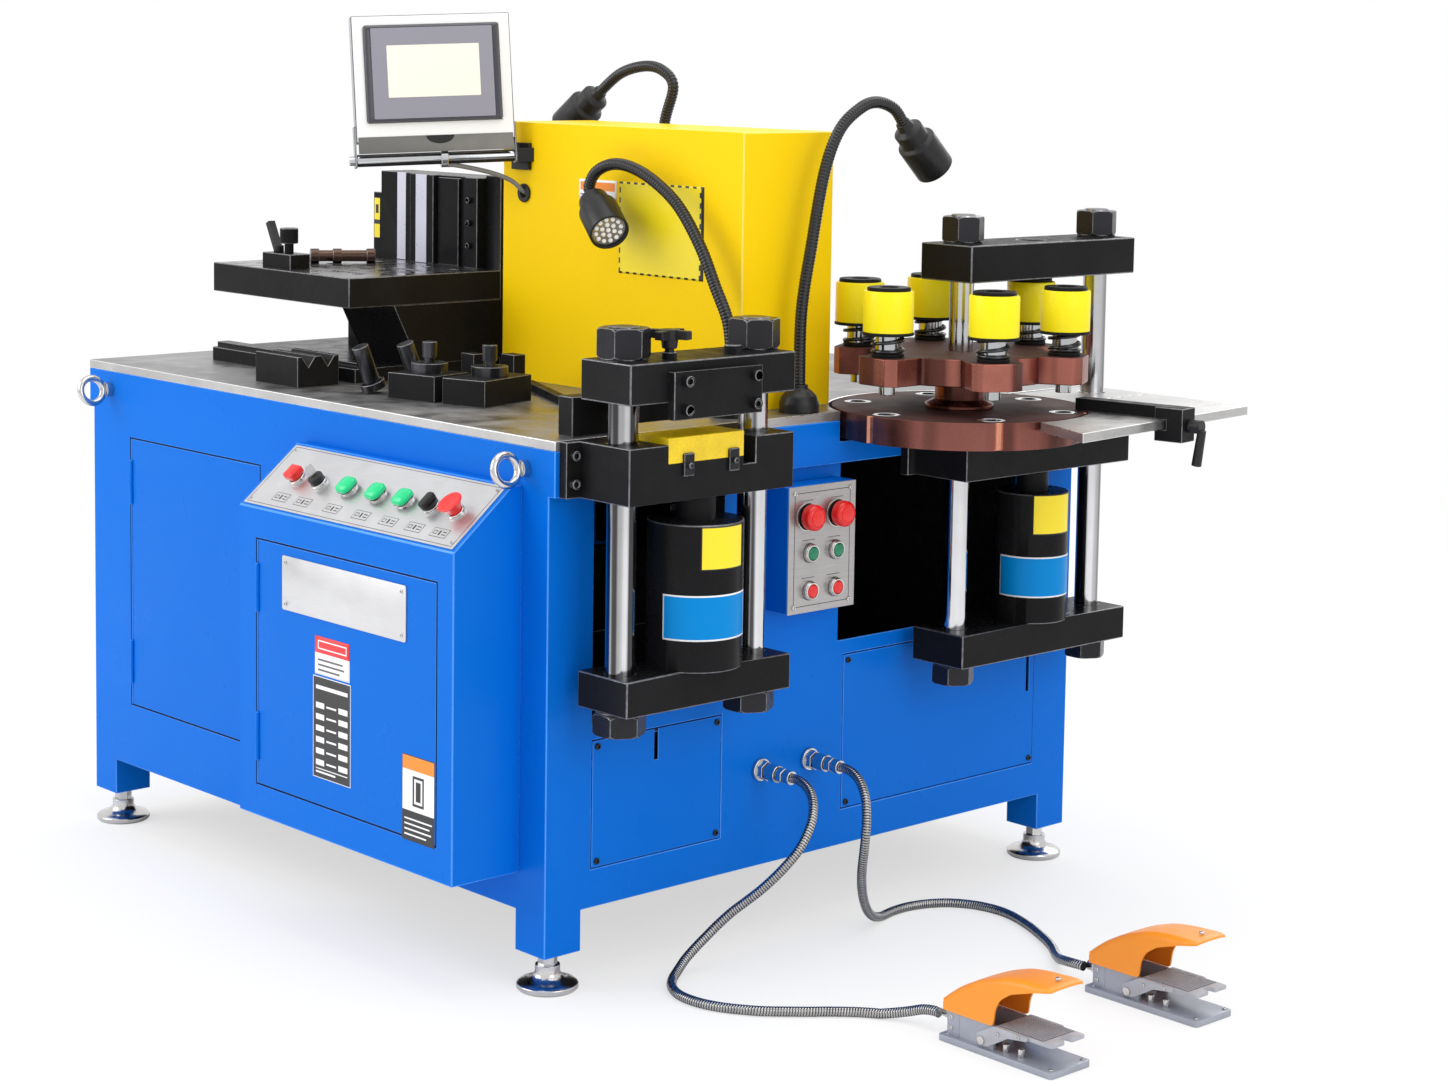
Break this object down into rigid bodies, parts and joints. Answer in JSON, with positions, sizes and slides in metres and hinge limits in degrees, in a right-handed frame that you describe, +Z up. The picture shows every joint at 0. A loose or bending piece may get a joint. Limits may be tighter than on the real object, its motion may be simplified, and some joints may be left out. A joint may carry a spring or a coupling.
{
  "type": "busbar processing machine",
  "caption": "Steel bench machine that shears, punches and bends flat copper bars, with a press, a turret press, a control desk, a tilting screen and foot pedals.",
  "frame": {"origin": "on the floor, in the middle of the machine's footprint, pedals and lifting eyes included", "axes": "+Z up, -Y the side with the control desk, +X the side with the two presses and the pedals"},
  "size_m": [2.018, 1.3786, 1.4672],
  "materials": {
    "blue_paint": "satin",
    "blue_door": "satin",
    "steel_table": "satin",
    "chrome_steel": "polished",
    "stainless": "brushed",
    "black_steel": "satin",
    "dark_bench": "gloss",
    "yellow_paint": "satin",
    "white_paint": "satin",
    "bronze": "satin",
    "yellow_head": "gloss",
    "grey_cast": "satin",
    "conduit": "satin",
    "cable": "matt",
    "lamp_black": "satin",
    "grey_steel": "satin",
    "red_plastic": "gloss",
    "green_plastic": "gloss",
    "black_plastic": "matt"
  },
  "bodies": {
    "machine": {"cabinet_frame": "blue_paint", "table_top": "steel_table", "cover_panels": "blue_paint", "levelling_feet": "chrome_steel", "eye_bolts": "chrome_steel", "control_boxes": "blue_paint", "control_plates": "stainless", "power_pack": "grey_steel", "electric_cabinet": "yellow_paint", "hmi_arm": "chrome_steel", "bending_frame": "black_steel", "bending_platform": "dark_bench", "cut_middle_block": "black_steel", "punch_middle_block": "black_steel", "press_pistons": "chrome_steel", "extension_table": "steel_table", "cable_glands": "chrome_steel", "foot_pedals": "grey_cast", "conduit_1": "conduit", "conduit_2": "conduit", "hmi_cable": "cable", "task_lamps": "lamp_black", "loose_tooling": "black_steel"},
    "cabinet_door": {"cabinet_door": "blue_door"},
    "desk_door": {"desk_door": "blue_door"},
    "red_button": {"red_button": "red_plastic"},
    "key_switch": {"key_switch": "chrome_steel"},
    "green_button_1": {"green_button_1": "green_plastic"},
    "green_button_2": {"green_button_2": "green_plastic"},
    "green_button_3": {"green_button_3": "green_plastic"},
    "selector_knob": {"selector_knob": "black_plastic"},
    "stop_mushroom": {"stop_mushroom": "red_plastic"},
    "box_button_1": {"box_button_1": "red_plastic"},
    "box_button_2": {"box_button_2": "red_plastic"},
    "box_button_3": {"box_button_3": "green_plastic"},
    "box_button_4": {"box_button_4": "green_plastic"},
    "box_button_5": {"box_button_5": "red_plastic"},
    "box_button_6": {"box_button_6": "red_plastic"},
    "hmi_panel": {"hmi_panel": "white_paint"},
    "cut_frame": {"cut_top_block": "black_steel", "cut_cylinder": "black_steel", "cut_columns": "chrome_steel", "cut_blade_holder": "black_steel"},
    "cut_knob": {"cut_knob": "black_plastic"},
    "punch_frame": {"punch_top_block": "black_steel", "punch_cylinder": "black_steel", "punch_columns": "chrome_steel"},
    "turret": {"turret_star": "bronze", "turret_disc": "bronze"},
    "punch_1": {"punch_1": "yellow_head"},
    "punch_2": {"punch_2": "yellow_head"},
    "punch_3": {"punch_3": "yellow_head"},
    "punch_4": {"punch_4": "yellow_head"},
    "punch_5": {"punch_5": "yellow_head"},
    "punch_6": {"punch_6": "yellow_head"},
    "fence": {"fence_bar": "black_steel"},
    "fence_lever": {"fence_lever": "black_steel"},
    "clamp_lever": {"clamp_lever": "black_steel"},
    "treadle_1": {"treadle_1": "grey_cast"},
    "treadle_2": {"treadle_2": "grey_cast"}
  },
  "joints": [
    {"name": "cabinet_door_hinge", "type": "hinge", "parent": "machine", "child": "cabinet_door", "pos_m": [-0.866, -0.5612, 0.472], "axis": [0, 0, -1], "range_deg": [0, 110]},
    {"name": "desk_door_hinge", "type": "hinge", "parent": "machine", "child": "desk_door", "pos_m": [-0.274, -0.6882, 0.43], "axis": [0, 0, -1], "range_deg": [0, 110]},
    {"name": "red_button_press", "type": "slide", "parent": "machine", "child": "red_button", "axis": [0, 0.636, -0.7717], "range_m": [0, 0.003], "stiffness_N_per_m": 500, "springref_m": -0.004},
    {"name": "key_turn", "type": "hinge", "parent": "machine", "child": "key_switch", "pos_m": [-0.181, -0.633, 0.7215], "axis": [0, -0.636, 0.7717], "range_deg": [-90, 0]},
    {"name": "green_button_1_press", "type": "slide", "parent": "machine", "child": "green_button_1", "axis": [0, 0.636, -0.7717], "range_m": [0, 0.003], "stiffness_N_per_m": 500, "springref_m": -0.004},
    {"name": "green_button_2_press", "type": "slide", "parent": "machine", "child": "green_button_2", "axis": [0, 0.636, -0.7717], "range_m": [0, 0.003], "stiffness_N_per_m": 500, "springref_m": -0.004},
    {"name": "green_button_3_press", "type": "slide", "parent": "machine", "child": "green_button_3", "axis": [0, 0.636, -0.7717], "range_m": [0, 0.003], "stiffness_N_per_m": 500, "springref_m": -0.004},
    {"name": "selector_turn", "type": "hinge", "parent": "machine", "child": "selector_knob", "pos_m": [0.111, -0.633, 0.7215], "axis": [0, -0.636, 0.7717], "range_deg": [-45, 45]},
    {"name": "stop_press", "type": "slide", "parent": "machine", "child": "stop_mushroom", "axis": [0, 0.636, -0.7717], "range_m": [0, 0.004], "stiffness_N_per_m": 500, "springref_m": -0.004},
    {"name": "box_button_1_press", "type": "slide", "parent": "machine", "child": "box_button_1", "axis": [-1, 0, 0], "range_m": [0, 0.004], "stiffness_N_per_m": 500, "springref_m": -0.004},
    {"name": "box_button_2_press", "type": "slide", "parent": "machine", "child": "box_button_2", "axis": [-1, 0, 0], "range_m": [0, 0.004], "stiffness_N_per_m": 500, "springref_m": -0.004},
    {"name": "box_button_3_press", "type": "slide", "parent": "machine", "child": "box_button_3", "axis": [-1, 0, 0], "range_m": [0, 0.003], "stiffness_N_per_m": 500, "springref_m": -0.004},
    {"name": "box_button_4_press", "type": "slide", "parent": "machine", "child": "box_button_4", "axis": [-1, 0, 0], "range_m": [0, 0.003], "stiffness_N_per_m": 500, "springref_m": -0.004},
    {"name": "box_button_5_press", "type": "slide", "parent": "machine", "child": "box_button_5", "axis": [-1, 0, 0], "range_m": [0, 0.003], "stiffness_N_per_m": 500, "springref_m": -0.004},
    {"name": "box_button_6_press", "type": "slide", "parent": "machine", "child": "box_button_6", "axis": [-1, 0, 0], "range_m": [0, 0.003], "stiffness_N_per_m": 500, "springref_m": -0.004},
    {"name": "screen_tilt", "type": "hinge", "parent": "machine", "child": "hmi_panel", "pos_m": [-0.384, -0.258, 1.219], "axis": [0.4995, 0.8652, 0.0436], "range_deg": [-10, 20]},
    {"name": "cut_stroke", "type": "slide", "parent": "machine", "child": "cut_frame", "axis": [0, 0, -1], "range_m": [0, 0.034]},
    {"name": "cut_knob_turn", "type": "hinge", "parent": "cut_frame", "child": "cut_knob", "pos_m": [0.4025, -0.423, 0.96], "axis": [0, 0, 1], "range_deg": [-180, 180]},
    {"name": "punch_stroke", "type": "slide", "parent": "machine", "child": "punch_frame", "axis": [0, 0, -1], "range_m": [0, 0.034]},
    {"name": "turret_index", "type": "hinge", "parent": "machine", "child": "turret", "pos_m": [0.3815, 0.228, 0.838], "axis": [0, 0, 1], "continuous": true},
    {"name": "punch_1_stroke", "type": "slide", "parent": "turret", "child": "punch_1", "axis": [0, 0, -1], "range_m": [0, 0.034]},
    {"name": "punch_2_stroke", "type": "slide", "parent": "turret", "child": "punch_2", "axis": [0, 0, -1], "range_m": [0, 0.034], "stiffness_N_per_m": 3000, "springref_m": -0.03},
    {"name": "punch_3_stroke", "type": "slide", "parent": "turret", "child": "punch_3", "axis": [0, 0, -1], "range_m": [0, 0.034], "stiffness_N_per_m": 3000, "springref_m": -0.03},
    {"name": "punch_4_stroke", "type": "slide", "parent": "turret", "child": "punch_4", "axis": [0, 0, -1], "range_m": [0, 0.034], "stiffness_N_per_m": 3000, "springref_m": -0.03},
    {"name": "punch_5_stroke", "type": "slide", "parent": "turret", "child": "punch_5", "axis": [0, 0, -1], "range_m": [0, 0.034], "stiffness_N_per_m": 3000, "springref_m": -0.03},
    {"name": "punch_6_stroke", "type": "slide", "parent": "turret", "child": "punch_6", "axis": [0, 0, -1], "range_m": [0, 0.034], "stiffness_N_per_m": 3000, "springref_m": -0.03},
    {"name": "fence_slide", "type": "slide", "parent": "machine", "child": "fence", "axis": [-0.1147, 0.9934, 0], "range_m": [-0.1, 0.18]},
    {"name": "fence_lever_turn", "type": "hinge", "parent": "fence", "child": "fence_lever", "pos_m": [0.72155, 0.39119, 0.83], "axis": [0.9878, 0.156, 0], "range_deg": [-60, 60]},
    {"name": "clamp_lever_turn", "type": "hinge", "parent": "machine", "child": "clamp_lever", "pos_m": [-0.694, -0.367, 1.044], "axis": [0, 0, 1], "range_deg": [-60, 60]},
    {"name": "treadle_1_press", "type": "hinge", "parent": "machine", "child": "treadle_1", "pos_m": [0.876, -0.197, 0.021], "axis": [0, 1, 0], "range_deg": [0, 6], "stiffness_Nm_per_rad": 10, "springref_deg": -8.59},
    {"name": "treadle_2_press", "type": "hinge", "parent": "machine", "child": "treadle_2", "pos_m": [0.876, 0.126, 0.021], "axis": [0, 1, 0], "range_deg": [0, 6], "stiffness_Nm_per_rad": 10, "springref_deg": -8.59}
  ],
  "couplings": [
    {"joint": "punch_1_stroke", "follows": "punch_stroke", "ratio": 1}
  ]
}
